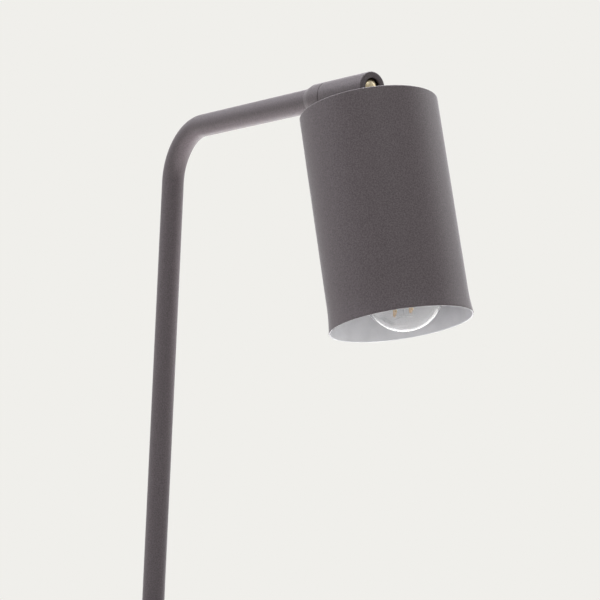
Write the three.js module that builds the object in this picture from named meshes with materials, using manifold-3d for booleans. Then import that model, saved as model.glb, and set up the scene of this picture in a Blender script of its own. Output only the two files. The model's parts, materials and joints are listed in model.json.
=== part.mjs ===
// Desk lamp: a bent steel tube on a weighted round base, with a swivel knuckle and a cylindrical shade.
// Millimetres, +Z up. Origin: centre of the base's underside, on the desk. The arm points along +X.
import * as THREE from "three";
import { mergeVertices } from "three/addons/utils/BufferGeometryUtils.js";
import Module from "manifold-3d";

const wasm = await Module();
wasm.setup();

// ---------------------------------------------------------------- driving dimensions
const GAP = 0.3; // left between pieces that rest on each other
const FINE = 48; // sides of the large round pieces
const MEDIUM = 32;
const COARSE = 16;
const WIRE_SIDES = 8;

const TUBE_R = 9;
const TUBE_WALL = 1.5;
const STEM_X = -39.7; // the stem stands behind the base's centre, to balance the head
const ARM_Z = 489; // height of the arm's centre line
const BEND_R = 42;
const PIVOT_REACH = 253.4; // stem axis to tilt pivot, along the arm
const PIVOT_X = STEM_X + PIVOT_REACH;

const BASE_R = 90;
const BASE_H = 22;
const BASE_SHELL = 1.5;
const PAD_T = 1.6;

const KNUCKLE_R = 11.2;
const KNUCKLE_BACK = -42.6; // ends of the knuckle, from the pivot along the arm
const KNUCKLE_FRONT = 9;
const KNUCKLE_MOUTH_R = 6.6; // end hole, and half the width of the slot below it
const COLLAR_L = 19.8;
const BALL_R = 8.8;

const SHADE_R = 50.2;
const SHADE_L = 160.4;
const SHADE_WALL = 1;
const SHADE_EDGE = 1.1; // rounding of the top face's outer edge
const SHADE_TOP = 16; // pivot to the shade's top face
const FLARE = 1.3; // how far the mouth opens out
const FLARE_L = 19;

const THREAD_R = 5; // M10x1 lamp rod
const THREAD_BORE = 3.2;
const LEAD_R = 1.9;

const KNUCKLE_TURN = 3.84; // pose at rest, in degrees: the knuckle turned about the arm
const SHADE_TILT = 12; // and the shade's mouth swung outwards
const HOLDER_LEAN = 2.8; // the lampholder hangs a little askew on its rod
const HOLDER_LEAN_TOWARDS = 54; // direction of that lean, from the arm's
const HOLDER_DROP = 48; // pivot to the lampholder's origin, down the head's axis
const BULB_SEAT = 28.5; // lampholder's origin to the tip of the bulb's cap
const BULB_R = 30;
const BULB_CENTRE = 75; // cap tip to the centre of the globe

function finish(color, roughness, metalness) {
  return new THREE.MeshStandardMaterial({ color, roughness, metalness });
}

const PAINT = finish(0x77717a, 0.75, 0.1);
const WHITE = finish(0xe6e6ea, 0.6, 0);
const BRASS = finish(0xc9b27a, 0.3, 1);
const STEEL = finish(0xb8b9bc, 0.35, 1);
const IRON = finish(0x3b3a3a, 0.8, 0.4);
const BLACK = finish(0x1c1b1c, 0.5, 0);
const FELT = finish(0x2b2a2c, 1, 0);
const CERAMIC = finish(0xe8e3d6, 0.5, 0);
const GLASS = finish(0xf2f5f6, 0.05, 0);
GLASS.transparent = true;
GLASS.opacity = 0.35;
const PHOSPHOR = finish(0xf0b458, 0.6, 0);

// ---------------------------------------------------------------- geometry helpers
const radians = THREE.MathUtils.degToRad;

// Solid of revolution about +Z from [radius, z] points. The profile starts and ends on the axis, or is a
// closed loop; its direction doesn't matter.
function lathe(profile, sides) {
  const closed = profile[0][0] > 0 ? [...profile, profile[0]] : profile;
  const turn = closed.reduce((sum, [r, z], i) => {
    const [r2, z2] = closed[(i + 1) % closed.length];
    return sum + r * z2 - r2 * z;
  }, 0);
  const outward = turn < 0 ? [...closed].reverse() : closed;
  const points = outward.map(([r, z]) => new THREE.Vector2(r, z));
  return new THREE.LatheGeometry(points, sides).rotateX(Math.PI / 2);
}

function disc(radius, low, high, sides) {
  return lathe([[0, low], [radius, low], [radius, high], [0, high]], sides);
}

function ring(outer, inner, low, high, sides) {
  return lathe([[inner, low], [outer, low], [outer, high], [inner, high]], sides);
}

const alongX = (geometry) => geometry.rotateY(Math.PI / 2);
const alongY = (geometry) => geometry.rotateX(-Math.PI / 2);

// Points of a circular arc for a lathe profile, angles in degrees from the radius direction.
function arc(r0, z0, radius, from, to, steps) {
  return Array.from({ length: steps + 1 }, (_, i) => {
    const a = radians(from + ((to - from) * i) / steps);
    return [r0 + radius * Math.cos(a), z0 + radius * Math.sin(a)];
  });
}

function hexPrism(acrossFlats, bore, low, high) {
  const shape = new THREE.Shape();
  const corner = acrossFlats / Math.sqrt(3);
  for (let i = 0; i < 6; i++) {
    const a = radians(60 * i + 30);
    const move = i ? "lineTo" : "moveTo";
    shape[move](corner * Math.cos(a), corner * Math.sin(a));
  }
  shape.closePath();
  shape.holes.push(new THREE.Path().absarc(0, 0, bore, 0, 2 * Math.PI, true));
  const options = { depth: high - low, bevelEnabled: false, curveSegments: 12 };
  return new THREE.ExtrudeGeometry(shape, options).translate(0, 0, low);
}

// A path given as rings, each a place and a direction, so that long straight runs cost nothing.
class RingPath extends THREE.Curve {
  constructor(rings) {
    super();
    this.rings = rings;
  }
  getPointAt(t) {
    return this.rings[Math.round(t * (this.rings.length - 1))].at.clone();
  }
  getTangentAt(t) {
    return this.rings[Math.round(t * (this.rings.length - 1))].along.clone();
  }
  getPoint(t) {
    return this.getPointAt(t);
  }
}

const ringAt = (x, y, z, dx, dy, dz) => ({
  at: new THREE.Vector3(x, y, z),
  along: new THREE.Vector3(dx, dy, dz).normalize(),
});

// Rings round a quarter bend in the XZ plane that turns from +Z to +X, or from +X to +Z.
function quarterBend(x, z, radius, upFirst, steps) {
  return Array.from({ length: steps + 1 }, (_, i) => {
    const a = (Math.PI / 2) * (i / steps);
    const [s, c] = [Math.sin(a), Math.cos(a)];
    return upFirst
      ? ringAt(x + radius * (1 - c), 0, z + radius * s, s, 0, c)
      : ringAt(x + radius * s, 0, z + radius * (1 - c), c, 0, s);
  });
}

function sweep(rings, outer, inner, sides) {
  const shape = new THREE.Shape().absarc(0, 0, outer, 0, 2 * Math.PI, false);
  if (inner) shape.holes.push(new THREE.Path().absarc(0, 0, inner, 0, 2 * Math.PI, true));
  const options = { steps: rings.length - 1, extrudePath: new RingPath(rings), curveSegments: sides };
  return new THREE.ExtrudeGeometry(shape, options);
}

// A straight round bar between two points.
function bar(from, to, radius, sides) {
  const [a, b] = [new THREE.Vector3(...from), new THREE.Vector3(...to)];
  const d = b.clone().sub(a);
  const turn = new THREE.Quaternion().setFromUnitVectors(new THREE.Vector3(0, 0, 1), d.clone().normalize());
  return disc(radius, 0, d.length(), sides).applyQuaternion(turn).translate(a.x, a.y, a.z);
}

function solid(geometry) {
  const bare = geometry.index ? geometry.toNonIndexed() : geometry.clone();
  bare.deleteAttribute("normal");
  bare.deleteAttribute("uv");
  const merged = mergeVertices(bare, 1e-4);
  const triVerts = new Uint32Array(merged.index.array);
  const vertProperties = merged.attributes.position.array;
  return new wasm.Manifold(new wasm.Mesh({ numProp: 3, vertProperties, triVerts }));
}

function surface(manifold) {
  const mesh = manifold.getMesh();
  const geometry = new THREE.BufferGeometry();
  geometry.setAttribute("position", new THREE.BufferAttribute(new Float32Array(mesh.vertProperties), 3));
  geometry.setIndex(new THREE.BufferAttribute(new Uint32Array(mesh.triVerts), 1));
  geometry.computeVertexNormals();
  return geometry;
}

const cut = (geometry, ...tools) => surface(tools.reduce((s, t) => s.subtract(solid(t)), solid(geometry)));
const join = (...pieces) => surface(pieces.slice(1).reduce((s, p) => s.add(solid(p)), solid(pieces[0])));

function block(x0, x1, y0, y1, z0, z1) {
  const centre = [(x0 + x1) / 2, (y0 + y1) / 2, (z0 + z1) / 2];
  return new THREE.BoxGeometry(x1 - x0, y1 - y0, z1 - z0).translate(...centre);
}

function add(group, name, geometry, material) {
  const mesh = new THREE.Mesh(geometry, material);
  mesh.name = name;
  group.add(mesh);
  return mesh;
}

// ---------------------------------------------------------------- base
const PLATE_LOW = PAD_T + 0.2;
const PLATE_T = 1.2;
const WEIGHT_LOW = PLATE_LOW + PLATE_T + GAP;
const WEIGHT_HIGH = BASE_H - BASE_SHELL - GAP;
const WEIGHT_R = BASE_R - BASE_SHELL - 1.2;
const RECESS_HIGH = 15.7; // ceiling of the nut's recess under the weight
const LEAD_Z = 5.2; // the lead's height in its channel
const LEAD_BEND = 6;
const ROD_LOW = LEAD_Z + LEAD_BEND + 0.1;
const GLAND_Z = 10.5;
const GLAND_BORE = 3.4;
const CHANNEL_HALF = 7;
const CLAMP_X = STEM_X - 24;
const CLAMP_SCREW_Y = 4.4;
const CLAMP_HOLE_R = 1.6;
const BASE_EDGE = 2.5;
const PLATE_SCREWS = 3;
const PLATE_SCREW_RING = 62;
const PLATE_SCREW_END = 14;
const PLUG_L = 20;
const NUT_FLATS = 14;

function buildBase(lamp) {
  const inside = BASE_R - BASE_SHELL;
  const cover = lathe(
    [
      [0, BASE_H - BASE_SHELL],
      [inside, BASE_H - BASE_SHELL],
      [inside, PLATE_LOW],
      [BASE_R, PLATE_LOW],
      ...arc(BASE_R - BASE_EDGE, BASE_H - BASE_EDGE, BASE_EDGE, 0, 90, 3),
      [0, BASE_H],
    ],
    FINE,
  );
  const stemHole = disc(THREAD_R + GAP, 0, BASE_H + 1, COARSE).translate(STEM_X, 0, 0);
  const glandHole = alongX(disc(5, -BASE_R - 5, -BASE_R + 5, COARSE)).translate(0, 0, GLAND_Z);
  add(lamp, "base_cover", cut(cover, stemHole, glandHole), PAINT);

  const blank = disc(WEIGHT_R, WEIGHT_LOW, WEIGHT_HIGH, MEDIUM);
  const recess = disc(15, 0, RECESS_HIGH, COARSE).translate(STEM_X, 0, 0);
  const channel = block(-BASE_R, STEM_X, -CHANNEL_HALF, CHANNEL_HALF, 0, RECESS_HIGH);
  add(lamp, "base_weight", cut(blank, recess, channel, stemHole), IRON);

  add(lamp, "bottom_plate", disc(BASE_R - BASE_SHELL - 0.8, PLATE_LOW, PLATE_LOW + PLATE_T, FINE), STEEL);
  add(lamp, "felt_pad", disc(BASE_R - 4, 0, PAD_T, FINE), FELT);
  const plateTop = PLATE_LOW + PLATE_T;
  const countersunk = [
    [0, PLATE_LOW],
    [3.6, PLATE_LOW],
    [1.9, plateTop],
    [1.9, PLATE_SCREW_END - 1],
    [0, PLATE_SCREW_END],
  ];
  for (let i = 0; i < PLATE_SCREWS; i++) {
    const a = radians((360 / PLATE_SCREWS) * i);
    const [x, y] = [PLATE_SCREW_RING * Math.cos(a), PLATE_SCREW_RING * Math.sin(a)];
    drillForScrew(lamp, x, y);
    add(lamp, `plate_screw_${i + 1}`, lathe(countersunk, 12).translate(x, y, 0), STEEL);
  }
}

// A plate screw's countersunk hole through the bottom plate and its hole up into the weight.
function drillForScrew(lamp, x, y) {
  const [plateTop, end] = [PLATE_LOW + PLATE_T, PLATE_SCREW_END + 0.5];
  const profile = [[0, 0], [4, 0], [4, PLATE_LOW], [2.3, plateTop], [2.3, end], [0, end]];
  const sink = lathe(profile, 12).translate(x, y, 0);
  for (const name of ["bottom_plate", "base_weight"]) {
    const mesh = lamp.getObjectByName(name);
    mesh.geometry = cut(mesh.geometry, sink);
  }
}

function buildStemFoot(lamp) {
  const foot = new THREE.Group();
  foot.position.x = STEM_X;
  lamp.add(foot);
  const plugLow = BASE_H + GAP;
  const plug = ring(TUBE_R - TUBE_WALL - GAP, THREAD_R + GAP, plugLow, plugLow + PLUG_L, COARSE);
  add(foot, "foot_plug", plug, STEEL);
  add(foot, "base_rod", ring(THREAD_R, THREAD_BORE, ROD_LOW, plugLow + PLUG_L - 4, COARSE), STEEL);
  add(foot, "base_nut", hexPrism(NUT_FLATS, THREAD_R + GAP, ROD_LOW + 0.3, ROD_LOW + 3.2), STEEL);
  add(foot, "base_washer", ring(10, THREAD_R + GAP, ROD_LOW + 3.5, RECESS_HIGH - 0.2, COARSE), STEEL);
}

function buildCordEntry(lamp) {
  const gland = lathe(
    [
      [GLAND_BORE, -BASE_R - 3],
      [5.6, -BASE_R - 3],
      [6.6, -BASE_R - 2.2],
      [6.6, -BASE_R - 0.3],
      [4.7, -BASE_R - 0.3],
      [4.7, -BASE_R + 4.5],
      [GLAND_BORE, -BASE_R + 4.5],
    ],
    COARSE,
  );
  add(lamp, "cord_gland", alongX(gland).translate(0, 0, GLAND_Z), BLACK);

  // A saddle that holds the lead down in its channel, screwed up into the weight's channel ceiling.
  const saddle = cut(
    block(CLAMP_X - 4, CLAMP_X + 4, -6.6, 6.6, LEAD_Z - 0.4, LEAD_Z + 3.4),
    alongX(disc(LEAD_R + 0.2, CLAMP_X - 5, CLAMP_X + 5, 12)).translate(0, 0, LEAD_Z),
    disc(CLAMP_HOLE_R, 0, BASE_H, 12).translate(CLAMP_X, CLAMP_SCREW_Y, 0),
    disc(CLAMP_HOLE_R, 0, BASE_H, 12).translate(CLAMP_X, -CLAMP_SCREW_Y, 0),
  );
  add(lamp, "cord_clamp", saddle, BLACK);
  const weight = lamp.getObjectByName("base_weight");
  const [headLow, headHigh, end] = [LEAD_Z - 1.9, LEAD_Z - 0.6, RECESS_HIGH + 2.3];
  const profile = [[0, headLow], [2.1, headLow], [2.1, headHigh], [1.3, headHigh], [1.3, end], [0, end]];
  for (const [name, y] of [["clamp_screw_left", CLAMP_SCREW_Y], ["clamp_screw_right", -CLAMP_SCREW_Y]]) {
    const hole = disc(CLAMP_HOLE_R, RECESS_HIGH - 1, end + 0.7, 12).translate(CLAMP_X, y, 0);
    weight.geometry = cut(weight.geometry, hole);
    add(lamp, name, lathe(profile, 12).translate(CLAMP_X, y, 0), STEEL);
  }
}

// ---------------------------------------------------------------- stem, arm and lead
const COLLAR_FRONT = KNUCKLE_BACK - 0.6;
const COLLAR_BACK = COLLAR_FRONT - COLLAR_L;
const TUBE_END = COLLAR_BACK + 12;

function buildStem(lamp) {
  const rings = [
    ringAt(STEM_X, 0, BASE_H + GAP, 0, 0, 1),
    ...quarterBend(STEM_X, ARM_Z - BEND_R, BEND_R, true, 9),
    ringAt(PIVOT_X + TUBE_END, 0, ARM_Z, 1, 0, 0),
  ];
  add(lamp, "stem_tube", sweep(rings, TUBE_R, TUBE_R - TUBE_WALL, 12), PAINT);

  const glandEnd = -BASE_R + 5;
  const lead = [
    ringAt(glandEnd, 0, GLAND_Z, 1, 0, 0),
    ringAt(glandEnd + 5, 0, GLAND_Z - 1, 1, 0, -0.4),
    ringAt(CLAMP_X - 11, 0, LEAD_Z + 1, 1, 0, -0.4),
    ringAt(CLAMP_X - 6, 0, LEAD_Z, 1, 0, 0),
    ...quarterBend(STEM_X - LEAD_BEND, LEAD_Z, LEAD_BEND, false, 5),
    ...quarterBend(STEM_X, ARM_Z - BEND_R, BEND_R, true, 8),
    ringAt(PIVOT_X + KNUCKLE_BACK + 14, 0, ARM_Z, 1, 0, 0),
  ];
  add(lamp, "lead_stem", sweep(lead, LEAD_R, 0, 4), WHITE);
}

// The fixed collar on the arm's end, and the hollow spigot that the knuckle turns on.
function buildSwivel(lamp) {
  const swivel = new THREE.Group();
  swivel.position.set(PIVOT_X, 0, ARM_Z);
  lamp.add(swivel);
  const [back, front] = [COLLAR_BACK, COLLAR_FRONT];
  const collar = lathe(
    [
      [TUBE_R + GAP, back],
      [TUBE_R + 0.5, back],
      [KNUCKLE_R - 0.5, back + 5.4],
      [KNUCKLE_R, back + 7],
      [KNUCKLE_R, front - 0.3],
      [KNUCKLE_R - 0.3, front],
      [THREAD_R + GAP, front],
      [THREAD_R + GAP, TUBE_END + GAP],
      [TUBE_R + GAP, TUBE_END + GAP],
    ],
    MEDIUM,
  );
  add(swivel, "arm_collar", alongX(collar), PAINT);
  const spigotEnd = KNUCKLE_BACK + 12.5;
  add(swivel, "swivel_spigot", alongX(ring(THREAD_R, THREAD_BORE, back + 3, spigotEnd, COARSE)), STEEL);
  const outerWasher = ring(KNUCKLE_R - 0.5, THREAD_R + GAP, front + 0.15, front + 0.45, MEDIUM);
  add(swivel, "swivel_washer_outer", alongX(outerWasher), BLACK);
  const innerWasher = ring(7.6, THREAD_R + GAP, KNUCKLE_BACK + 5.3, KNUCKLE_BACK + 6.3, COARSE);
  add(swivel, "swivel_washer_inner", alongX(innerWasher), STEEL);
  const nut = hexPrism(NUT_FLATS, THREAD_R + GAP, KNUCKLE_BACK + 6.6, KNUCKLE_BACK + 11.6);
  add(swivel, "swivel_nut", alongX(nut), STEEL);
}

// ---------------------------------------------------------------- knuckle (origin at the tilt pivot)
const KNUCKLE_BORE = BALL_R + GAP;
const KNUCKLE_LIP = 1.8; // thickness of the end face's rim
const KNUCKLE_EDGE = 1.1;
const PIVOT_SCREW_R = 2;
const PIVOT_PIN_R = 1.3;
const PIN_GRIP = 2.4; // how far the screw and the pin reach into the ball
const BALL_HOLLOW = 2.6;

function buildKnuckle(knuckle) {
  const [back, front, r] = [KNUCKLE_BACK, KNUCKLE_FRONT, KNUCKLE_R];
  const body = lathe(
    [
      [THREAD_R + GAP, back],
      [r - 0.3, back],
      [r, back + 0.3],
      ...arc(r - KNUCKLE_EDGE, front - KNUCKLE_EDGE, KNUCKLE_EDGE, 0, 90, 3),
      [KNUCKLE_MOUTH_R + 0.5, front],
      [KNUCKLE_MOUTH_R, front - 0.5],
      [KNUCKLE_MOUTH_R, front - KNUCKLE_LIP],
      [KNUCKLE_BORE, front - KNUCKLE_LIP],
      [KNUCKLE_BORE, back + 5],
      [THREAD_R + GAP, back + 5],
    ],
    MEDIUM,
  );
  // The neck swings in a slot that runs from under the pivot out through the end face.
  const slotBack = -1;
  const half = KNUCKLE_MOUTH_R;
  const slot = block(slotBack, front + 1, -half, half, -r - 1, 0);
  const slotEnd = disc(half, -r - 1, 0, COARSE).translate(slotBack, 0, 0);
  // The ball turns on a fixed pin in a blind hole on one side, and on a screw on the other.
  const pinEnd = r - 0.9;
  const pinHole = alongY(disc(PIVOT_PIN_R + GAP, -pinEnd - 0.1, 0, 16));
  const screwHole = alongY(disc(PIVOT_SCREW_R + 0.1, 0, r + 1, 16));
  add(knuckle, "knuckle", cut(alongX(body), slot, slotEnd, pinHole, screwHole), PAINT);

  const tip = BALL_R - PIN_GRIP;
  const screw = [
    [0, tip],
    [PIVOT_PIN_R, tip],
    [PIVOT_PIN_R, BALL_R + 0.4],
    [PIVOT_SCREW_R, BALL_R + 0.9],
    [PIVOT_SCREW_R, pinEnd],
    [0, pinEnd],
  ];
  add(knuckle, "pivot_screw", alongY(lathe(screw, 16)), STEEL);
  add(knuckle, "pivot_pin", alongY(disc(PIVOT_PIN_R, -pinEnd, -tip, 16)), STEEL);
  const lead = alongX(disc(LEAD_R, back + 14.6, -BALL_R - 1.2, 12));
  add(knuckle, "lead_knuckle", lead, WHITE);
}

// ---------------------------------------------------------------- head (origin at the pivot, shade along -Z)
// Points down the shade's wall where it curves out towards the mouth.
function flaredWall(radius, low) {
  const [high, end, steps] = [low + FLARE_L, low + 0.3, 4];
  return Array.from({ length: steps + 1 }, (_, i) => {
    const t = i / steps;
    return [radius + FLARE * t * t, high + (end - high) * t];
  });
}

function buildHead(head) {
  const rodTop = -3.6;
  const ball = cut(
    new THREE.SphereGeometry(BALL_R, 24, 16),
    disc(THREAD_R + 0.15, -BALL_R - 1, rodTop + 0.2, COARSE),
    disc(BALL_HOLLOW, rodTop - 1, 1.5, 12),
    alongX(disc(BALL_HOLLOW + 0.2, -BALL_R - 1, 0, 12)),
    alongY(disc(PIVOT_PIN_R + 0.2, -BALL_R - 1, PIN_GRIP + 0.4 - BALL_R, 12)),
    alongY(disc(PIVOT_PIN_R + 0.2, BALL_R - PIN_GRIP - 0.4, BALL_R + 1, 12)),
  );
  add(head, "pivot_ball", ball, BRASS);
  const rodLow = -HOLDER_DROP - 7;
  add(head, "neck_rod", ring(THREAD_R, THREAD_BORE, rodLow, rodTop, COARSE), BRASS);
  const sleeve = ring(KNUCKLE_MOUTH_R - 0.5, THREAD_R + GAP, GAP - SHADE_TOP, -BALL_R - 0.8, COARSE);
  add(head, "neck_sleeve", sleeve, PAINT);

  const [top, low, inner] = [-SHADE_TOP, -SHADE_TOP - SHADE_L, SHADE_R - SHADE_WALL];
  const outsideFlare = flaredWall(SHADE_R, low);
  const insideFlare = flaredWall(inner, low).reverse();
  const shade = lathe(
    [
      [THREAD_R + GAP, top],
      ...arc(SHADE_R - SHADE_EDGE, top - SHADE_EDGE, SHADE_EDGE, 90, 0, 3),
      ...outsideFlare,
      [SHADE_R + FLARE - 0.3, low],
      [inner + FLARE + 0.3, low],
      ...insideFlare,
      ...arc(inner - 1, top - SHADE_WALL - 1, 1, 0, 90, 2),
      [THREAD_R + GAP, top - SHADE_WALL],
    ],
    FINE,
  );
  add(head, "shade", shade, PAINT);
  const under = top - SHADE_WALL;
  add(head, "shade_washer", ring(11, THREAD_R + GAP, under - 1.5, under - 0.3, COARSE), STEEL);
  add(head, "shade_nut", hexPrism(NUT_FLATS, THREAD_R + GAP, under - 5.8, under - 1.8), BRASS);
  add(head, "lead_head", disc(LEAD_R, rodLow - 1.5, -5.2, 12), WHITE);
}

// ---------------------------------------------------------------- lampholder (origin on the rod)
const SKIRT_R = 20;
const SKIRT_BORE = 17.9;
const SHELL_R = 14.7; // E27 shell, outside its wall
const SHELL_BORE = 13.9;
const TERMINAL_Y = 9;

const down = (profile) => profile.map(([r, t]) => [r, -t]);

function buildHolder(holder) {
  const entry = THREAD_R + 0.7;
  const cap = lathe(
    down([
      [entry, -3],
      [8, -3],
      [8.5, 4],
      [16, 9],
      [19, 12.5],
      [19.5, 16],
      [19.5, 24],
      [17.6, 24],
      [17.6, 15],
      [13.5, 10.5],
      [entry, 8.2],
    ]),
    MEDIUM,
  );
  const grubHole = alongX(disc(1.7, 0, 12, 12));
  add(holder, "holder_cap", cut(cap, grubHole), BLACK);
  add(holder, "holder_grub_screw", alongX(disc(1.4, entry + 0.1, 8.6, 12)), STEEL);

  const skirt = lathe(
    down([
      [SKIRT_R, 24.4],
      [SKIRT_R, 51],
      [SKIRT_R - 0.8, 52.5],
      [SHELL_R + 0.7, 52.5],
      [SHELL_R + GAP, 52],
      [SHELL_R + GAP, 49.8],
      [SKIRT_BORE, 49.8],
      [SKIRT_BORE, 24.4],
    ]),
    MEDIUM,
  );
  add(holder, "holder_skirt", skirt, BLACK);

  const blockHoles = [-1, 1].map((side) => disc(1.3, -30, 0, 12).translate(0, side * TERMINAL_Y, 0));
  const contactBlock = cut(disc(17.1, -24.6, -17, MEDIUM), ...blockHoles, disc(2, -30, 0, 12));
  add(holder, "contact_block", contactBlock, CERAMIC);
  const shell = lathe(
    down([
      [4, 25],
      [SHELL_R - 0.3, 25],
      [SHELL_R, 26],
      [SHELL_R, 49.4],
      [SHELL_BORE, 49.4],
      [SHELL_BORE, 26.2],
      [4, 26.2],
    ]),
    MEDIUM,
  );
  add(holder, "thread_shell", shell, BRASS);
  const dome = lathe(down([[0, 26.8], [3.2, 26.8], [2.6, 28.1], [0, 28.1]]), 12);
  add(holder, "centre_contact", join(disc(1.6, -27.4, -18, 12), dome), BRASS);

  for (const [name, side, coat] of [["left", 1, BRASS], ["right", -1, WHITE]]) {
    const screw = lathe(down([[0, 14.3], [2.4, 14.3], [2.4, 16.6], [1, 16.6], [1, 22], [0, 22]]), 12);
    add(holder, `terminal_screw_${name}`, screw.translate(0, side * TERMINAL_Y, 0), STEEL);
    const core = [
      ringAt(0, side * 1.1, -10.2, 0, side * 0.5, -1),
      ringAt(0, side * 2.6, -12.2, 0, side * 1, -0.6),
      ringAt(0, side * 6, -13.2, 0, side, -0.1),
    ];
    add(holder, `conductor_${name}`, sweep(core, 0.8, 0, 4), coat);
  }
}

// ---------------------------------------------------------------- bulb (origin at the cap's tip, along -Z)
const CAP_R = 13.1;
const GLASS_T = 0.9;
const GLOBE_FROM = 23; // where the neck meets the globe, in degrees above its middle
const FILAMENTS = 4;
const FILAMENT_R = 1.2;
const FILAMENT_HIGH = 55;
const FILAMENT_LOW = 92.5;
const FILAMENT_TOP_RING = 5;
const FILAMENT_LOW_RING = 8.4;
const FILAMENT_TURN = 9;
const FILAMENT_SWAY = [-1.9, -2.7]; // the frame's low end stands off the bulb's axis

function globeProfile(inset) {
  const globe = arc(0, 0, BULB_R - inset, GLOBE_FROM, -90, 10);
  const round = globe.map(([x, z]) => [Math.max(x, 0), BULB_CENTRE - z]);
  return [[12.2 - inset, 21], [12.5 - inset, 27], [13.6 - inset, 31], [17.2 - inset, 39.6], ...round];
}

function buildBulb(bulb) {
  add(bulb, "cap_contact", lathe(down([[0, 0], [2.6, 0.1], [4.2, 1.2], [4.2, 1.7], [0, 1.7]]), 16), STEEL);
  add(bulb, "cap_insulator", lathe(down([[0, 2], [5, 2], [9, 5.4], [9, 6.6], [0, 6.6]]), COARSE), BLACK);
  const cap = lathe(
    down([
      [9.4, 5.6],
      [CAP_R - 0.7, 8.2],
      [CAP_R, 9.4],
      [CAP_R, 26.4],
      [CAP_R - 0.2, 27],
      [CAP_R - 0.2, 26.4],
      [CAP_R - 0.5, 9.8],
      [9.4, 6.8],
    ]),
    MEDIUM,
  );
  add(bulb, "bulb_cap", cap, STEEL);

  const outside = globeProfile(0);
  const inside = globeProfile(GLASS_T);
  add(bulb, "bulb_glass", lathe(down([...outside, ...inside.reverse()]), MEDIUM), GLASS);

  const mount = lathe(
    down([[0, 23], [10, 23], [9.2, 26], [4.6, 33], [3, 38], [2.6, 50], [3.4, 53], [2.2, 56], [0, 57]]),
    COARSE,
  );
  add(bulb, "glass_mount", mount, GLASS);

  const spokes = [];
  const spokeDrop = FILAMENT_LOW + 1.6;
  const [swayX, swayY] = FILAMENT_SWAY;
  for (let i = 0; i < FILAMENTS; i++) {
    const a = radians(FILAMENT_TURN + (360 / FILAMENTS) * i);
    const [c, s] = [Math.cos(a), Math.sin(a)];
    const swayed = (r, t) => [swayX + r * c, swayY + r * s, -t];
    spokes.push(bar(swayed(0, spokeDrop), swayed(FILAMENT_LOW_RING + 0.7, spokeDrop), 0.35, WIRE_SIDES));
    const high = [FILAMENT_TOP_RING * c, FILAMENT_TOP_RING * s, -FILAMENT_HIGH];
    const low = swayed(FILAMENT_LOW_RING, FILAMENT_LOW);
    add(bulb, `led_filament_${i + 1}`, bar(high, low, FILAMENT_R, 10), PHOSPHOR);
  }
  const wire = bar([0, 0, -57.4], [swayX, swayY, -spokeDrop - 0.4], 0.45, WIRE_SIDES);
  add(bulb, "filament_frame", join(wire, ...spokes), STEEL);
}

// ---------------------------------------------------------------- assembly
const lamp = new THREE.Group();
buildBase(lamp);
buildStemFoot(lamp);
buildCordEntry(lamp);
buildStem(lamp);
buildSwivel(lamp);

const knuckle = new THREE.Group();
knuckle.position.set(PIVOT_X, 0, ARM_Z);
knuckle.rotation.x = radians(KNUCKLE_TURN);
lamp.add(knuckle);
buildKnuckle(knuckle);

const head = new THREE.Group();
head.rotation.y = radians(-SHADE_TILT);
knuckle.add(head);
buildHead(head);

const lean = radians(HOLDER_LEAN_TOWARDS);
const leanAxis = new THREE.Vector3(Math.sin(lean), -Math.cos(lean), 0);
const holder = new THREE.Group();
holder.position.z = -HOLDER_DROP;
holder.quaternion.setFromAxisAngle(leanAxis, radians(HOLDER_LEAN));
head.add(holder);
buildHolder(holder);

const bulb = new THREE.Group();
bulb.position.z = -BULB_SEAT;
holder.add(bulb);
buildBulb(bulb);

export default lamp;
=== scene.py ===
import json
import math

import bmesh
import bpy
from mathutils import Matrix, Vector


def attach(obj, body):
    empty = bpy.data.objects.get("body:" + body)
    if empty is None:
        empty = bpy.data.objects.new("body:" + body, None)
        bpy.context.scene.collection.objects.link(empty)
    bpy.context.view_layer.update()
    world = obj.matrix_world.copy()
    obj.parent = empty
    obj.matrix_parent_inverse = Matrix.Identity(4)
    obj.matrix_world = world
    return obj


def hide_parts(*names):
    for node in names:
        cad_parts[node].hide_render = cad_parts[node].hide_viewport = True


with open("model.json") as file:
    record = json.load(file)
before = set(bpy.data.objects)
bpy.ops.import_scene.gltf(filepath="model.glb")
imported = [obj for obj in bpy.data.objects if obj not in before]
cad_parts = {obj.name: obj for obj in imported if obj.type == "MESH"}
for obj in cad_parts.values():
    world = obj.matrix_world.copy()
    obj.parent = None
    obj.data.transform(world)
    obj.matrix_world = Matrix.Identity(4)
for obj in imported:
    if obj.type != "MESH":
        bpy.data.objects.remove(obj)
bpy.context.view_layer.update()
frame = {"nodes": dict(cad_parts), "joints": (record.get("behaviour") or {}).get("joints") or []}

MM = 0.001

# ---------------------------------------------------------------- driving dimensions (mm, as in the CAD)
GAP = 0.3
TUBE_R = 9
TUBE_WALL = 1.5
STEM_X = -39.7
ARM_Z = 489
BEND_R = 42
BASE_R = 90
BASE_H = 22
BASE_SHELL = 1.5
PAD_T = 1.6
PLATE_LOW = PAD_T + 0.2
GLAND_Z = 10.5
GLAND_BORE = 3.4
KNUCKLE_R = 11.2
KNUCKLE_BACK = -42.6
KNUCKLE_FRONT = 9
KNUCKLE_MOUTH_R = 6.6
COLLAR_L = 19.8
COLLAR_FRONT = KNUCKLE_BACK - 0.6
COLLAR_BACK = COLLAR_FRONT - COLLAR_L
TUBE_END = COLLAR_BACK + 12
BALL_R = 8.8
KNUCKLE_BORE = BALL_R + GAP
KNUCKLE_LIP = 1.8
PIVOT_SCREW_R = 2
PIVOT_PIN_R = 1.3
PIN_GRIP = 2.4
SHADE_R = 50.2
SHADE_L = 160.4
SHADE_WALL = 1
SHADE_TOP = 16
SHADE_EDGE = 1.1
FLARE = 1.3
FLARE_L = 19
SHADE_SIDES = 240
THREAD_R = 5
THREAD_BORE = 3.2
THREAD_PITCH = 1
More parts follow.
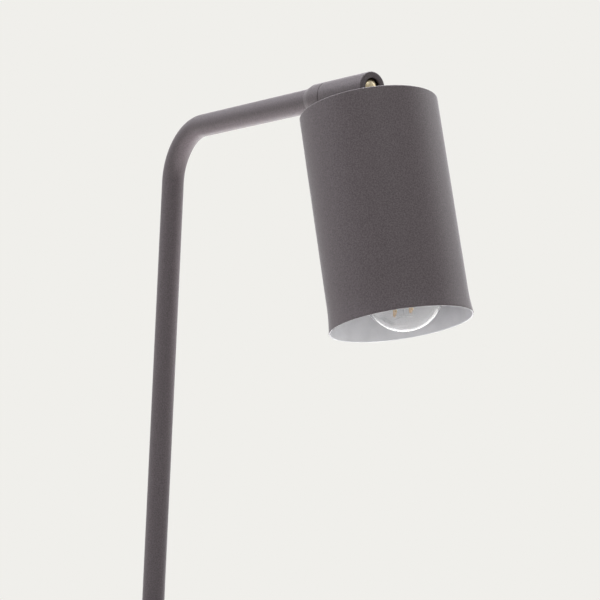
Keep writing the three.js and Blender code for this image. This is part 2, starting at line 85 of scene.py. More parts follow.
THREAD_DEPTH = 0.45
HOLDER_DROP = 48
E27_PITCH = 3.62
TERMINAL_OUT = 9  # each terminal screw's distance from the holder's axis
BULB_SEAT = 28.5
BULB_R = 30
BULB_CENTRE = 75
FILAMENTS = 4
FILAMENT_HIGH = 55
FILAMENT_LOW = 92.5
FILAMENT_R = 1.2
FILAMENT_TOP_RING = 5
FILAMENT_LOW_RING = 8.4
FILAMENT_TURN = 9
FRAME_WIRE_R = 0.45
SPOKE_R = 0.35
SPOKE_DROP = 1.6  # the spokes' distance below the filaments' lower ends
SPOKE_PAST = 0.7
FILAMENT_SWAY = Vector((-1.9, -2.7, 0))

KNUCKLE_TURN = math.radians(3.84)
SHADE_TILT = math.radians(12)
HOLDER_LEAN = math.radians(2.8)
HOLDER_LEAN_TOWARDS = math.radians(54)

ROUND = 160  # sides of the large round pieces
SMALL = 72  # and of the small ones


# ---------------------------------------------------------------- camera, light and stage
CAMERA_AT = (1.3469, -0.8752, 0.1901)
CAMERA_TURNS = (53.957, 5.724, 2.31)  # azimuth, pitch and roll, in degrees
SENSOR_WIDTH = 36
LENS = 120.73


def build_camera():
    azimuth, pitch, roll = (math.radians(a) for a in CAMERA_TURNS)
    camera = bpy.data.objects.new("camera", bpy.data.cameras.new("camera"))
    camera.data.sensor_width = SENSOR_WIDTH
    camera.data.lens = LENS
    turn = Matrix.Rotation(azimuth, 4, "Z") @ Matrix.Rotation(math.pi / 2 + pitch, 4, "X")
    turn = turn @ Matrix.Rotation(roll, 4, "Z")
    camera.matrix_world = Matrix.Translation(CAMERA_AT) @ turn
    camera.data.clip_end = 60
    bpy.context.scene.collection.objects.link(camera)
    bpy.context.scene.camera = camera


BACKDROP = (0.871, 0.863, 0.831)
ROOM_TINT = (1, 0.985, 1)
CAMERA_SIDE = (0.86, -0.50, 0.05)
ROOM_BRIGHT = 0.95
ROOM_DIM = 0.40


def build_world():
    world = bpy.data.worlds.new("studio")
    bpy.context.scene.world = world
    world.use_nodes = True
    tree = world.node_tree
    nodes, links = tree.nodes, tree.links
    nodes.clear()
    out = nodes.new("ShaderNodeOutputWorld")
    seen = nodes.new("ShaderNodeBackground")
    seen.inputs["Color"].default_value = (*BACKDROP, 1)
    lit = nodes.new("ShaderNodeBackground")
    mix = nodes.new("ShaderNodeMixShader")
    path = nodes.new("ShaderNodeLightPath")
    # The room is bright all round, and dimmer on the camera's side.
    coords = nodes.new("ShaderNodeTexCoord")
    towards = nodes.new("ShaderNodeVectorMath")
    towards.operation = "DOT_PRODUCT"
    towards.inputs[1].default_value = CAMERA_SIDE
    ramp = nodes.new("ShaderNodeMapRange")
    ramp.interpolation_type = "SMOOTHSTEP"
    ramp.inputs["From Min"].default_value = -0.5
    ramp.inputs["From Max"].default_value = 0.35
    ramp.inputs["To Min"].default_value = ROOM_BRIGHT
    ramp.inputs["To Max"].default_value = ROOM_DIM
    links.new(coords.outputs["Generated"], towards.inputs[0])
    links.new(towards.outputs["Value"], ramp.inputs["Value"])
    links.new(ramp.outputs["Result"], lit.inputs["Strength"])
    lit.inputs["Color"].default_value = (*ROOM_TINT, 1)
    links.new(path.outputs["Is Camera Ray"], mix.inputs["Fac"])
    links.new(lit.outputs[0], mix.inputs[1])
    links.new(seen.outputs[0], mix.inputs[2])
    links.new(mix.outputs[0], out.inputs[0])


def hang(name, data, at, aim):
    """Places a light that points from at to aim, and that neither the camera nor the glass sees."""
    light = bpy.data.objects.new(name, data)
    light.location = at
    light.rotation_euler = (Vector(aim) - Vector(at)).to_track_quat("-Z", "Y").to_euler()
    light.visible_camera = False
    light.visible_transmission = False
    bpy.context.scene.collection.objects.link(light)
    return light


def area_light(name, at, aim, size, power, tint=(1, 1, 1)):
    data = bpy.data.lights.new(name, "AREA")
    data.shape = "DISK"
    data.size = size
    data.energy = power
    data.color = tint
    hang(name, data, at, aim)


def spot_light(name, at, aim, cone, power):
    """A narrow light that leaves no reflection of itself."""
    data = bpy.data.lights.new(name, "SPOT")
    data.spot_size = math.radians(cone)
    data.spot_blend = 0.6
    data.shadow_soft_size = 0.06
    data.energy = power
    hang(name, data, at, aim).visible_glossy = False


PAPER = (0.62, 0.615, 0.60)
FLOOR_REACH = 20
FADE_START = 0.45
FADE_END = 1.0


def build_floor():
    """A pale floor that takes the lamp's shadow near it, and fades into the backdrop further off."""
    mesh = bpy.data.meshes.new("floor")
    corners = [(x * FLOOR_REACH, y * FLOOR_REACH, 0) for x, y in ((-1, -1), (1, -1), (1, 1), (-1, 1))]
    mesh.from_pydata(corners, [], [(0, 1, 2, 3)])
    floor = bpy.data.objects.new("floor", mesh)
    bpy.context.scene.collection.objects.link(floor)
    paper = bpy.data.materials.new("paper")
    paper.use_nodes = True
    nodes, links = paper.node_tree.nodes, paper.node_tree.links
    nodes.clear()
    out = nodes.new("ShaderNodeOutputMaterial")
    near = nodes.new("ShaderNodeBsdfDiffuse")
    near.inputs["Color"].default_value = (*PAPER, 1)
    far = nodes.new("ShaderNodeEmission")
    far.inputs["Color"].default_value = (*BACKDROP, 1)
    place = nodes.new("ShaderNodeNewGeometry")
    length = nodes.new("ShaderNodeVectorMath")
    length.operation = "LENGTH"
    fade = nodes.new("ShaderNodeMapRange")
    fade.inputs["From Min"].default_value = FADE_START
    fade.inputs["From Max"].default_value = FADE_END
    mix = nodes.new("ShaderNodeMixShader")
    links.new(place.outputs["Position"], length.inputs[0])
    links.new(length.outputs["Value"], fade.inputs["Value"])
    links.new(fade.outputs["Result"], mix.inputs["Fac"])
    links.new(near.outputs[0], mix.inputs[1])
    links.new(far.outputs[0], mix.inputs[2])
    links.new(mix.outputs[0], out.inputs[0])
    mesh.materials.append(paper)


LILAC = (1, 0.98, 1.06)

build_camera()
build_world()
# Each light's name, place and aim in metres, then its width in metres or its cone in degrees, and its watts.
area_light("key", (-0.9, -1.3, 1.9), (0.1, 0, 0.35), 1.6, 21, LILAC)
area_light("rim", (0.6, 1.6, 1.5), (0.2, 0, 0.35), 1.4, 6)
area_light("back", (-0.6, 0.9, 2.0), (0.1, 0, 0.45), 1.5, 24, LILAC)
area_light("front", (1.3, -0.8, 1.8), (0.25, 0, 0.42), 0.9, 3)
area_light("overhead", (0.15, 0.05, 2.2), (0.15, 0.05, 0), 0.8, 12, LILAC)
area_light("top", (1.0, -0.25, 1.7), (0.25, 0, 0.48), 0.16, 2.2)
area_light("bounce", (-1.2, 0.9, 0.02), (0.1, 0, 0.49), 1.1, 4)
area_light("glow", (-0.25, 0.45, 0.004), (-0.1, 0.3, 1), 1.4, 7)
spot_light("table", (0.40, 0.10, 0.03), (0.245, 0, 0.36), 34, 2.6)
spot_light("under_arm", (0.02, 0.16, 0.02), (0.08, 0, ARM_Z * MM), 48, 18)
build_floor()
bpy.context.scene.view_settings.view_transform = "Standard"


# ---------------------------------------------------------------- materials
def finish(name, dark, light, grain, rough, bump, bump_grain, **sockets):
    """A surface whose colour wanders between dark and light over blotches of grain millimetres.

    Its roughness wanders between the two values of rough, and it is raised by up to bump millimetres.
    """
    made = bpy.data.materials.new(name)
    made.use_nodes = True
    nodes, links = made.node_tree.nodes, made.node_tree.links
    shader = nodes["Principled BSDF"]
    for socket, value in sockets.items():
        shader.inputs[socket.replace("_", " ")].default_value = value
    coords = nodes.new("ShaderNodeTexCoord")

    def noise(size, detail):
        node = nodes.new("ShaderNodeTexNoise")
        node.inputs["Scale"].default_value = 1 / (size * MM)
        node.inputs["Detail"].default_value = detail
        links.new(coords.outputs["Object"], node.inputs["Vector"])
        return node.outputs["Fac"]

    ramp = nodes.new("ShaderNodeValToRGB")
    ramp.color_ramp.elements[0].position = 0.35
    ramp.color_ramp.elements[0].color = (*dark, 1)
    ramp.color_ramp.elements[1].position = 0.65
    ramp.color_ramp.elements[1].color = (*light, 1)
    links.new(noise(grain, 3), ramp.inputs["Fac"])
    links.new(ramp.outputs["Color"], shader.inputs["Base Color"])
    wear = nodes.new("ShaderNodeMapRange")
    wear.inputs["To Min"].default_value = rough[0]
    wear.inputs["To Max"].default_value = rough[1]
    links.new(noise(grain * 2.7, 2), wear.inputs["Value"])
    links.new(wear.outputs["Result"], shader.inputs["Roughness"])
    relief = nodes.new("ShaderNodeBump")
    relief.inputs["Distance"].default_value = bump * MM
    links.new(noise(bump_grain, 2), relief.inputs["Height"])
    links.new(relief.outputs["Normal"], shader.inputs["Normal"])
    return made


PAINT = finish("powder_coat", (0.072, 0.059, 0.063), (0.118, 0.099, 0.106), 0.9, (0.42, 0.54), 0.10, 0.8,
               Specular_IOR_Level=0.5, Sheen_Weight=0.2, Sheen_Roughness=0.3)
ENAMEL = finish("white_enamel", (0.66, 0.66, 0.685), (0.72, 0.72, 0.745), 9, (0.34, 0.48), 0.03, 1.6)
BRASS = finish("turned_brass", (0.72, 0.60, 0.38), (0.92, 0.82, 0.58), 1.6, (0.30, 0.42), 0.01, 0.3,
               Metallic=1)
ZINC = finish("zinc_plate", (0.50, 0.51, 0.53), (0.68, 0.69, 0.70), 2.2, (0.22, 0.40), 0.01, 0.4,
              Metallic=1)
IRON = finish("cast_iron", (0.030, 0.028, 0.028), (0.070, 0.064, 0.062), 2.5, (0.6, 0.85), 0.25, 1.1,
              Metallic=0.4)
BLACK = finish("black_moulding", (0.016, 0.016, 0.017), (0.028, 0.027, 0.029), 3, (0.38, 0.52), 0.04, 0.5)
FELT = finish("pressed_felt", (0.020, 0.020, 0.022), (0.052, 0.051, 0.056), 0.7, (0.9, 1.0), 0.5, 0.5,
              Sheen_Weight=0.5, Sheen_Roughness=0.6)
SLEEVE = finish("lead_sleeve", (0.68, 0.68, 0.66), (0.76, 0.76, 0.74), 5, (0.45, 0.6), 0.03, 0.8)
PORCELAIN = finish("porcelain", (0.76, 0.72, 0.62), (0.84, 0.80, 0.71), 4, (0.25, 0.45), 0.05, 0.9)
VITRITE = finish("vitrite", (0.006, 0.005, 0.008), (0.014, 0.012, 0.017), 3, (0.08, 0.2), 0.03, 1.2)
SHELL = finish("cap_shell", (0.70, 0.70, 0.71), (0.82, 0.82, 0.83), 1.4, (0.2, 0.36), 0.01, 0.3,
               Metallic=1)
PHOSPHOR = finish("phosphor", (0.95, 0.50, 0.14), (1.0, 0.70, 0.28), 0.6, (0.5, 0.7), 0.08, 0.3,
                  Subsurface_Weight=0.15, Subsurface_Radius=(0.002, 0.001, 0.0005))
COPPER = finish("tinned_copper", (0.66, 0.48, 0.38), (0.80, 0.62, 0.50), 0.8, (0.25, 0.4), 0.01, 0.2,
                Metallic=1)
GLASS = finish("clear_glass", (0.97, 0.985, 0.985), (1, 1, 1), 30, (0.0, 0.02), 0.02, 12,
               Transmission_Weight=0.9, IOR=1.46)


# ---------------------------------------------------------------- shape helpers
def soften(points, radius, closed=True, steps=4):
    """The outline with each corner rounded to about radius, or to what its edges leave room for."""
    count = len(points)
    out = []
    for i, here in enumerate(points):
        if not closed and i in (0, count - 1):
            out.append(here)
            continue
        corner = Vector(here)
        before = Vector(points[i - 1]) - corner
        after = Vector(points[(i + 1) % count]) - corner
        reach = min(radius, before.length * 0.45, after.length * 0.45)
        if before.angle(after) > math.radians(172) or reach < 1e-4:
            out.append(here)
            continue
        start, end = corner + before.normalized() * reach, corner + after.normalized() * reach
        for k in range(steps + 1):
            t = k / steps
            bent = start * (1 - t) ** 2 + corner * (2 * t * (1 - t)) + end * t**2
            out.append(tuple(bent))
    return out


def arc(r, z, radius, first, last, steps):
    angles = [math.radians(first + (last - first) * i / steps) for i in range(steps + 1)]
    return [(r + radius * math.cos(a), z + radius * math.sin(a)) for a in angles]


def lathe(profile, sides=ROUND, wave=None):
    """A solid of revolution about Z, whose profile closes on itself where it starts off the axis.

    wave(r, z, angle) may move the radius.
    """
    bm = bmesh.new()
    on_axis = [abs(r) < 1e-6 for r, _ in profile]
    columns = []
    for (r, z), pole in zip(profile, on_axis):
        if pole:
            columns.append([bm.verts.new((0, 0, z))] * sides)
            continue
        ring = []
        for k in range(sides):
            a = 2 * math.pi * k / sides
            radius = wave(r, z, a) if wave else r
            ring.append(bm.verts.new((radius * math.cos(a), radius * math.sin(a), z)))
        columns.append(ring)
    pairs = list(zip(columns, columns[1:]))
    if not on_axis[0]:
        pairs.append((columns[-1], columns[0]))
    for low, high in pairs:
        for k in range(sides):
            n = (k + 1) % sides
            corners = [low[k], low[n], high[n], high[k]]
            face = list(dict.fromkeys(corners))
            if len(face) > 2:
                bm.faces.new(face)
    bmesh.ops.recalc_face_normals(bm, faces=bm.faces)
    return bm


def disc(radius, low, high, edge=0.2, sides=SMALL):
    return lathe(soften([(0, low), (radius, low), (radius, high), (0, high)], edge, closed=False), sides)


def ring(outer, inner, low, high, edge=0.2, sides=SMALL):
    return lathe(soften([(inner, low), (outer, low), (outer, high), (inner, high)], edge), sides)


def box(x, y, z):
    """A plain block between two values on each axis: only ever a cutter."""
    bm = bmesh.new()
    bmesh.ops.create_cube(bm, size=1)
    for v in bm.verts:
        v.co = Vector((x[v.co.x > 0], y[v.co.y > 0], z[v.co.z > 0]))
    return bm


def moved(bm, matrix):
    bm.transform(matrix)
    return bm


ALONG_X = Matrix.Rotation(math.pi / 2, 4, "Y")
ALONG_Y = Matrix.Rotation(-math.pi / 2, 4, "X")


def as_object(bm, name):
    mesh = bpy.data.meshes.new(name)
    bm.to_mesh(mesh)
    bm.free()
    made = bpy.data.objects.new(name, mesh)
    bpy.context.scene.collection.objects.link(made)
    return made


def cut(bm, *tools, operation="DIFFERENCE"):
    """The shape after its cutters, in order."""
    target = as_object(bm, "target")
    for tool in tools:
        cutter = as_object(tool, "cutter")
        step = target.modifiers.new("cut", "BOOLEAN")
        step.operation = operation
        step.solver = "EXACT"
        step.object = cutter
        bpy.context.view_layer.update()
        graph = bpy.context.evaluated_depsgraph_get()
        done = bpy.data.meshes.new_from_object(target.evaluated_get(graph))
        target.modifiers.clear()
        target.data = done
        bpy.data.objects.remove(cutter)
    out = bmesh.new()
    out.from_mesh(target.data)
    bpy.data.objects.remove(target)
    bmesh.ops.remove_doubles(out, verts=out.verts, dist=1e-4)
    return out


def sweep(path, outer, inner=0.0, sides=48):
    """A round bar or tube along a list of (place, direction) pairs."""
    bm = bmesh.new()
    side = Vector((0, 1, 0))
    if abs(path[0][1].normalized().dot(side)) > 0.9:
        side = Vector((1, 0, 0))

    def hoops(radius):
        rows = []
        for at, along in path:
            b = along.normalized().cross(side).normalized()
            a = b.cross(along.normalized())
            turns = [2 * math.pi * k / sides for k in range(sides)]
            rows.append([bm.verts.new(at + (a * math.cos(t) + b * math.sin(t)) * radius) for t in turns])
        return rows

    def skin(rows):
        for low, high in zip(rows, rows[1:]):
            for k in range(sides):
                bm.faces.new((low[k], low[(k + 1) % sides], high[(k + 1) % sides], high[k]))

    outside = hoops(outer)
    skin(outside)
    if inner:
        inside = hoops(inner)
        skin(inside)
        skin([outside[0], inside[0]])
        skin([outside[-1], inside[-1]])
    else:
        bm.faces.new(outside[0])
        bm.faces.new(outside[-1])
    bmesh.ops.recalc_face_normals(bm, faces=bm.faces)
    return bm


def hexagon(across_flats, bore, low, high):
    """A nut with chamfered corners."""
    corner = across_flats / math.sqrt(3)
    blank = lathe(soften([(bore, low), (corner, low), (corner, high), (bore, high)], 1.1), 96)
    prism = bmesh.new()
    bmesh.ops.create_cone(
        prism, cap_ends=True, segments=6, radius1=corner, radius2=corner, depth=high - low + 4
    )
    moved(prism, Matrix.Translation((0, 0, (low + high) / 2)))
    return cut(blank, prism, operation="INTERSECT")


def bar(start, end, radius, sides=24):
    a, b = Vector(start), Vector(end)
    return sweep([(a, b - a), (b, b - a)], radius, sides=sides)


def thread(pitch, depth, low, high, fade=1.5):
    """A radius that follows a screw thread between two heights."""

    def wave(r, z, angle):
        inside = min((z - low) / fade, (high - z) / fade, 1)
        if inside <= 0:
            return r
        return r - depth * inside * (0.5 - 0.5 * math.cos(2 * math.pi * (z / pitch - angle / (2 * math.pi))))

    return wave


def climb(r, low, high, step):
    """Profile points straight up a wall, close enough together for a thread."""
    count = max(2, round(abs(high - low) / step))
    return [(r, low + (high - low) * i / count) for i in range(count + 1)]


def down(profile):
    return [(r, -t) for r, t in profile]


def piece(name, bm, place, body, slot, *materials, sharp=38):
    """Places a shape in its group's frame and makes it stand for the CAD node of that name."""
    bm.transform(place @ Matrix.Scale(MM, 4))
    made = as_object(bm, "lamp_" + name)
    for material in materials:
        made.data.materials.append(material)
    made.data.shade_smooth()
    made.data.set_sharp_from_angle(angle=math.radians(sharp))
    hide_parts(name)
    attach(made, body)
    return made


# ---------------------------------------------------------------- group frames
joint = {j["name"]: j for j in frame["joints"]}
LAMP = Matrix.Identity(4)
SWIVEL = Matrix.Translation(joint["shade_tilt"]["pos_m"])
KNUCKLE = SWIVEL @ Matrix.Rotation(KNUCKLE_TURN, 4, "X")
HEAD = KNUCKLE @ Matrix.Rotation(-SHADE_TILT, 4, "Y")
LEAN_AXIS = Vector((math.sin(HOLDER_LEAN_TOWARDS), -math.cos(HOLDER_LEAN_TOWARDS), 0))
HOLDER = HEAD @ Matrix.Translation((0, 0, -HOLDER_DROP * MM)) @ Matrix.Rotation(HOLDER_LEAN, 4, LEAN_AXIS)
BULB = HOLDER @ Matrix.Translation((0, 0, -BULB_SEAT * MM))
PIVOT_X = joint["shade_tilt"]["pos_m"][0] / MM


# ---------------------------------------------------------------- base
def build_base():
    inside = BASE_R - BASE_SHELL
    profile = [(0, BASE_H - BASE_SHELL), (inside, BASE_H - BASE_SHELL), (inside, PLATE_LOW)]
    profile += [(BASE_R, PLATE_LOW)]
    profile = soften(profile + [(BASE_R, BASE_H - 4)], 0.4, closed=False)
    profile += arc(BASE_R - 2.5, BASE_H - 2.5, 2.5, 0, 90, 12) + [(60, BASE_H), (0, BASE_H)]
    stem_hole = moved(disc(THREAD_R + GAP, 0, BASE_H + 2), Matrix.Translation((STEM_X, 0, 0)))
    at_gland = Matrix.Translation((0, 0, GLAND_Z))
    gland_hole = moved(moved(disc(5, -BASE_R - 5, -BASE_R + 5), ALONG_X), at_gland)
    piece("base_cover", cut(lathe(profile), stem_hole, gland_hole), LAMP, "base", "lamp_paint", PAINT)
    piece("felt_pad", disc(BASE_R - 4, 0, PAD_T, 0.5, ROUND), LAMP, "base", "felt", FELT)
    gland = [(GLAND_BORE, -BASE_R - 3), (5.6, -BASE_R - 3), (6.6, -BASE_R - 2.2), (6.6, -BASE_R - 0.3)]
    gland += [(4.7, -BASE_R - 0.3), (4.7, -BASE_R + 4.5), (GLAND_BORE, -BASE_R + 4.5)]
    shape = moved(moved(lathe(soften(gland, 0.4), SMALL), ALONG_X), at_gland)
    piece("cord_gland", shape, LAMP, "base", "black_plastic", BLACK)


def build_stem():
    up, out = Vector((0, 0, 1)), Vector((1, 0, 0))
    path = [(Vector((STEM_X, 0, BASE_H + GAP)), up)]
    steps = 40
    for i in range(steps + 1):
        a = math.pi / 2 * i / steps
        x = STEM_X + BEND_R * (1 - math.cos(a))
        z = ARM_Z - BEND_R * (1 - math.sin(a))
        path.append((Vector((x, 0, z)), up * math.cos(a) + out * math.sin(a)))
    path.append((Vector((PIVOT_X + TUBE_END, 0, ARM_Z)), out))
    tube = sweep(path, TUBE_R, TUBE_R - TUBE_WALL, 96)
    piece("stem_tube", tube, LAMP, "base", "lamp_paint", PAINT)


def build_swivel():
    back, front = COLLAR_BACK, COLLAR_FRONT
    collar = [
        (TUBE_R + GAP, back),
        (TUBE_R + 0.5, back),
        (KNUCKLE_R - 0.5, back + 5.4),
        (KNUCKLE_R, back + 7),
        (KNUCKLE_R, front),
        (THREAD_R + GAP, front),
        (THREAD_R + GAP, TUBE_END + GAP),
        (TUBE_R + GAP, TUBE_END + GAP),
    ]
    chamfered = soften(collar[:4], 0.8, closed=False)
    outline = chamfered + soften(collar[3:] + collar[:1], 0.15, closed=False)[1:-1]
    piece("arm_collar", moved(lathe(outline), ALONG_X), SWIVEL, "base", "lamp_paint", PAINT)
    washer = ring(KNUCKLE_R - 0.5, THREAD_R + GAP, front + 0.15, front + 0.45, 0.08, ROUND)
    piece("swivel_washer_outer", moved(washer, ALONG_X), SWIVEL, "base", "black_plastic", BLACK)


# ---------------------------------------------------------------- knuckle
def build_knuckle():
    back, front, r = KNUCKLE_BACK, KNUCKLE_FRONT, KNUCKLE_R
    outer = [(THREAD_R + GAP, back + 3), (THREAD_R + GAP, back), (r, back), (r, back + 4)]
    outer = soften(outer, 0.15, closed=False)
    lip_back = front - KNUCKLE_LIP
    inner = [(KNUCKLE_MOUTH_R, front), (KNUCKLE_MOUTH_R, lip_back), (KNUCKLE_BORE, lip_back)]
    inner += [(KNUCKLE_BORE, back + 5), (THREAD_R + GAP, back + 5)]
    lip = soften([(r - 2, front)] + inner, 0.45, closed=False)[1:]
    profile = outer + arc(r - 1.1, front - 1.1, 1.1, 0, 90, 8) + lip
    half = KNUCKLE_MOUTH_R
    slot = box((-1, front + 1), (-half, half), (-r - 1, 0))
    slot_end = moved(disc(half, -r - 1, 0, 0, SMALL), Matrix.Translation((-1, 0, 0)))
    pin_hole = moved(disc(PIVOT_PIN_R + GAP, 0.8 - r, 0, 0, 48), ALONG_Y)
    screw_hole = moved(disc(PIVOT_SCREW_R + 0.1, 0, r + 1, 0, 48), ALONG_Y)
    body = cut(moved(lathe(profile), ALONG_X), slot, slot_end, pin_hole, screw_hole)
    piece("knuckle", body, KNUCKLE, "knuckle", "lamp_paint", PAINT)

    tip = BALL_R - PIN_GRIP
    profile = [(0, tip), (PIVOT_PIN_R, tip), (PIVOT_PIN_R, BALL_R + 0.4), (PIVOT_SCREW_R, BALL_R + 0.9)]
    profile += [(PIVOT_SCREW_R, r - 0.9), (0, r - 0.9)]
    socket = bmesh.new()
    bmesh.ops.create_cone(socket, cap_ends=True, segments=6, radius1=1.1, radius2=1.1, depth=3)
    moved(socket, Matrix.Translation((0, 0, r - 0.9)))
    screw = cut(lathe(soften(profile, 0.2, closed=False), 48), socket)
    piece("pivot_screw", moved(screw, ALONG_Y), KNUCKLE, "knuckle", "zinc_steel", ZINC)
    pin = disc(PIVOT_PIN_R, 0.9 - r, -tip, 0.3, 48)
    piece("pivot_pin", moved(pin, ALONG_Y), KNUCKLE, "knuckle", "zinc_steel", ZINC)


# ---------------------------------------------------------------- head
def build_neck():
    ball = lathe([(0, -BALL_R)] + arc(0, 0, BALL_R, -88, 88, 48) + [(0, BALL_R)], 96)
    ball = cut(
        ball,
        disc(THREAD_R + 0.15, -BALL_R - 1, -3.4, 0),
        disc(2.6, -4.6, 1.5, 0, 48),
        moved(disc(2.8, -BALL_R - 1, 0, 0, 48), ALONG_X),
        moved(disc(PIVOT_PIN_R + 0.2, -BALL_R - 1, PIN_GRIP + 0.4 - BALL_R, 0, 48), ALONG_Y),
        moved(disc(PIVOT_PIN_R + 0.2, BALL_R - PIN_GRIP - 0.4, BALL_R + 1, 0, 48), ALONG_Y),
    )
    piece("pivot_ball", ball, HEAD, "head", "brass", BRASS)
    low, high = -HOLDER_DROP - 7, -3.6
    outside = climb(THREAD_R, low + 0.6, high - 0.4, 0.125)
    rod = [(THREAD_BORE, low), (THREAD_R - 0.4, low)] + outside
    rod += [(THREAD_R - 0.4, high), (THREAD_BORE, high)]
    wave = thread(THREAD_PITCH, THREAD_DEPTH, low, high)
    piece("neck_rod", lathe(rod, 64, wave), HEAD, "head", "brass", BRASS)
    sleeve = ring(KNUCKLE_MOUTH_R - 0.5, THREAD_R + GAP, -SHADE_TOP + GAP, -BALL_R - 0.8, 0.3, 96)
    piece("neck_sleeve", sleeve, HEAD, "head", "lamp_paint", PAINT)


def flared_wall(radius, low):
    """Points down the shade's wall where it curves out towards the mouth."""
    high, end, steps = low + FLARE_L, low + SHADE_WALL / 2, 16
    return [(radius + FLARE * (i / steps) ** 2, high + (end - high) * i / steps) for i in range(steps + 1)]


def build_shade():
    top, low, inner = -SHADE_TOP, -SHADE_TOP - SHADE_L, SHADE_R - SHADE_WALL
    outside = [(THREAD_R + GAP, top), (SHADE_R * 0.5, top)]
    outside += arc(SHADE_R - SHADE_EDGE, top - SHADE_EDGE, SHADE_EDGE, 90, 0, 12)
    outside += climb(SHADE_R, top - 8, low + FLARE_L + 2, 12) + flared_wall(SHADE_R, low)
    inside = flared_wall(inner, low)[::-1] + climb(inner, low + FLARE_L + 2, top - 8, 12)
    inside += arc(inner - 1, top - SHADE_WALL - 1, 1, 0, 90, 6)
    inside += [(SHADE_R * 0.5, top - SHADE_WALL), (THREAD_R + GAP, top - SHADE_WALL)]
    rim = arc(SHADE_R + FLARE - SHADE_WALL / 2, low + SHADE_WALL / 2, SHADE_WALL / 2, 0, -180, 10)[1:-1]
    bm = lathe(outside + rim + inside, SHADE_SIDES)
    shade = piece("shade", bm, HEAD, "head", "shade_paint", PAINT, ENAMEL)
    back = HEAD.inverted()
    for face in shade.data.polygons:
        at = back @ face.center / MM
        widening = FLARE * max(0, 1 - (at.z - low) / FLARE_L) ** 2
        if math.hypot(at.x, at.y) < SHADE_R + widening - 0.35 and at.z < top - 0.5 * SHADE_WALL:
            face.material_index = 1
    under = top - SHADE_WALL
    washer = ring(11, THREAD_R + GAP, under - 1.5, under - 0.3)
    piece("shade_washer", washer, HEAD, "head", "zinc_steel", ZINC)
    piece("shade_nut", hexagon(14, THREAD_R + GAP, under - 5.8, under - 1.8), HEAD, "head", "brass", BRASS)


# ---------------------------------------------------------------- lampholder
def ribs(count, depth, low, high):
    def wave(r, z, angle):
        if not low < z < high:
            return r
        return r - depth * max(0, math.cos(count * angle)) ** 2

    return wave


def build_holder():
    entry = THREAD_R + 0.7
    cap = [(entry, -3), (8, -3), (8.5, 4), (16, 9), (19, 12.5), (19.5, 16), (19.5, 24), (17.6, 24)]
    cap += [(17.6, 15), (13.5, 10.5), (entry, 8.2)]
    grub_hole = moved(disc(1.7, 0, 12, 0, 32), ALONG_X)
    cap = cut(lathe(soften(down(cap), 0.8)), grub_hole)
    piece("holder_cap", cap, HOLDER, "head", "black_plastic", BLACK)
    grub = moved(disc(1.4, entry + 0.1, 8.6, 0.2, 32), ALONG_X)
    piece("holder_grub_screw", grub, HOLDER, "head", "zinc_steel", ZINC)
    rib_low, rib_high = 28, 49
    wall = [(20, 24.4), (20, 26)] + [(20, t) for _, t in climb(0, rib_low, rib_high, 1)]
    skirt = wall + [(20, 51), (19.2, 52.5), (15.4, 52.5), (15, 52), (15, 49.8), (17.9, 49.8), (17.9, 24.4)]
    bm = lathe(soften(down(skirt), 0.4), 288, ribs(24, 0.7, -rib_high, -rib_low))
    piece("holder_skirt", bm, HOLDER, "head", "black_plastic", BLACK)

    holes = [moved(disc(1.3, -30, 0, 0, 32), Matrix.Translation((0, y, 0)))
             for y in (-TERMINAL_OUT, TERMINAL_OUT)]
    block = cut(disc(17.1, -24.6, -17, 0.5, 128), *holes, disc(2, -30, 0, 0, 32))
    piece("contact_block", block, HOLDER, "head", "ceramic", PORCELAIN)
    outer, inner, turns = 14.7, 13.9, 0.25
    shell = [(4, -25), (14.4, -25)] + climb(outer, -26, -49.4, turns)
    shell += climb(inner, -49.4, -26.2, turns) + [(4, -26.2)]
    wave = thread(E27_PITCH, 0.45, -49.4, -27)
    piece("thread_shell", lathe(shell, 128, wave), HOLDER, "head", "brass", BRASS)
    post = disc(1.6, -27.4, -18, 0.2, 32)
    dome = lathe(soften(down([(0, 26.8), (3.2, 26.8), (2.6, 28.1), (0, 28.1)]), 0.3, closed=False), 48)
    contact = cut(post, dome, operation="UNION")
    piece("centre_contact", contact, HOLDER, "head", "brass", BRASS)
    for name, side in (("left", 1), ("right", -1)):
        profile = down([(0, 14.3), (2.4, 14.3), (2.4, 16.6), (1, 16.6), (1, 22), (0, 22)])
        screw = cut(lathe(soften(profile, 0.2, closed=False), 48), box((-3, 3), (-0.35, 0.35), (-15, -13)))
        screw = moved(screw, Matrix.Translation((0, side * TERMINAL_OUT, 0)))
        piece("terminal_screw_" + name, screw, HOLDER, "head", "zinc_steel", ZINC)


# ---------------------------------------------------------------- bulb
def globe(inset):
    """The glass's outline: a neck that flows into a round globe."""
    neck = [(12.2, 21), (12.5, 27), (13.6, 31), (17.2, 39.6)]
    neck = [(r - inset, t) for r, t in neck]
    radius = BULB_R - inset
    ball = [(max(r, 0), BULB_CENTRE - z) for r, z in arc(0, 0, radius, 23, -90, 44)]
    return smooth_curve(neck + ball[:1], 10) + ball[1:]


def smooth_curve(points, steps):
    """A Catmull-Rom curve through the points."""
    pts = [Vector(p) for p in points]
    pts = [pts[0] * 2 - pts[1]] + pts + [pts[-1] * 2 - pts[-2]]
    out = []
    for a, b, c, d in zip(pts, pts[1:], pts[2:], pts[3:]):
        for k in range(steps):
            t = k / steps
            out.append(tuple(0.5 * (2 * b + (c - a) * t + (2 * a - 5 * b + 4 * c - d) * t**2
                                    + (3 * b - a - 3 * c + d) * t**3)))
    return out + [tuple(pts[-2])]


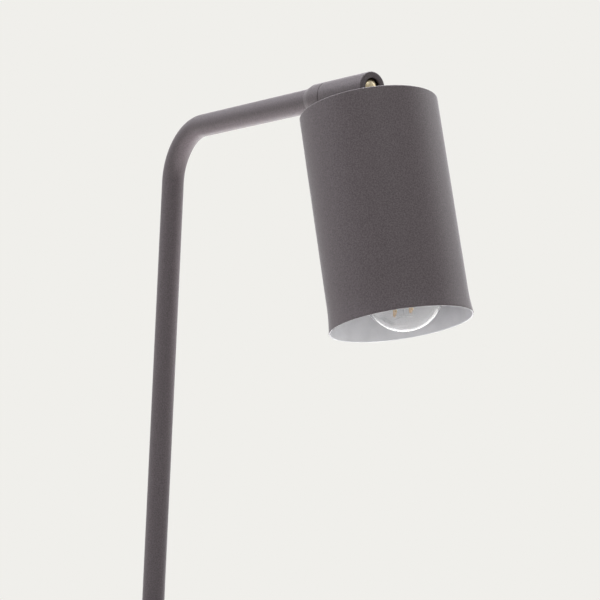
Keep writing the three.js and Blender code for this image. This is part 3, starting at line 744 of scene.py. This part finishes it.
def build_bulb():
    tip = down([(0, 0), (2.6, 0.1), (4.2, 1.2), (4.2, 1.7), (0, 1.7)])
    piece("cap_contact", lathe(soften(tip, 0.4, closed=False), 64), BULB, "bulb", "zinc_steel", ZINC)
    seat = down([(0, 2), (5, 2), (9, 5.4), (9, 6.6), (0, 6.6)])
    piece("cap_insulator", lathe(soften(seat, 0.5, closed=False), 96), BULB, "bulb", "insulator", VITRITE)
    outer = [(9.4, -5.6), (12.4, -8.2)] + climb(13.1, -9.4, -26.4, 0.25) + [(13.05, -27)]
    inner = [(12.9, -27), (12.9, -26.4)] + climb(12.75, -26, -9.8, 0.25) + [(9.4, -6.8)]
    wave = thread(E27_PITCH, 0.4, -25.5, -9)
    piece("bulb_cap", lathe(outer + inner, 128, wave), BULB, "bulb", "cap_shell", SHELL)

    profile = down(globe(0) + globe(0.9)[::-1])
    piece("bulb_glass", lathe(profile, 160), BULB, "bulb", "glass", GLASS)
    stalk = [(10, 23), (9.2, 26), (4.6, 33), (3, 38), (2.6, 50), (3.4, 53), (2.2, 56)]
    mount = [(0, -23)] + down(smooth_curve(stalk, 6)) + [(0, -57)]
    piece("glass_mount", lathe(mount, 96), BULB, "bulb", "glass", GLASS)

    spokes = []
    high, low = Vector((0, 0, -FILAMENT_HIGH)), FILAMENT_SWAY - Vector((0, 0, FILAMENT_LOW))
    hub = low - Vector((0, 0, SPOKE_DROP))
    for i in range(FILAMENTS):
        a = math.radians(FILAMENT_TURN + 360 / FILAMENTS * i)
        ray = Vector((math.cos(a), math.sin(a), 0))
        spokes.append(bar(hub, hub + ray * (FILAMENT_LOW_RING + SPOKE_PAST), SPOKE_R, 16))
        rod = rounded_rod(high + ray * FILAMENT_TOP_RING, low + ray * FILAMENT_LOW_RING, FILAMENT_R)
        piece(f"led_filament_{i + 1}", rod, BULB, "bulb", "phosphor", PHOSPHOR)
    wire = bar((0, 0, -57.4), hub - Vector((0, 0, 0.4)), FRAME_WIRE_R, 24)
    piece("filament_frame", cut(wire, *spokes, operation="UNION"), BULB, "bulb", "zinc_steel", ZINC)


def rounded_rod(start, end, radius):
    along = end - start
    length = along.length
    profile = [(0, 0)] + arc(0, radius, radius, -84, 0, 8)
    profile += arc(0, length - radius, radius, 0, 84, 8) + [(0, length)]
    turn = Vector((0, 0, 1)).rotation_difference(along).to_matrix().to_4x4()
    return moved(lathe(profile, 32), Matrix.Translation(start) @ turn)


# ---------------------------------------------------------------- carried-over CAD nodes
KEPT = {
    "base_weight": IRON, "bottom_plate": ZINC, "foot_plug": ZINC, "base_rod": ZINC, "base_nut": ZINC,
    "base_washer": ZINC, "cord_clamp": BLACK, "clamp_screw_left": ZINC, "clamp_screw_right": ZINC,
    "plate_screw_1": ZINC, "plate_screw_2": ZINC, "plate_screw_3": ZINC, "swivel_spigot": ZINC,
    "swivel_washer_inner": ZINC, "swivel_nut": ZINC, "lead_stem": SLEEVE, "lead_knuckle": SLEEVE,
    "lead_head": SLEEVE, "conductor_left": COPPER, "conductor_right": COPPER,
}


def dress_kept_nodes():
    for name, material in KEPT.items():
        node = frame["nodes"][name]
        for holder in node.material_slots:
            holder.material = material


build_base()
build_stem()
build_swivel()
build_knuckle()
build_neck()
build_shade()
build_holder()
build_bulb()
dress_kept_nodes()
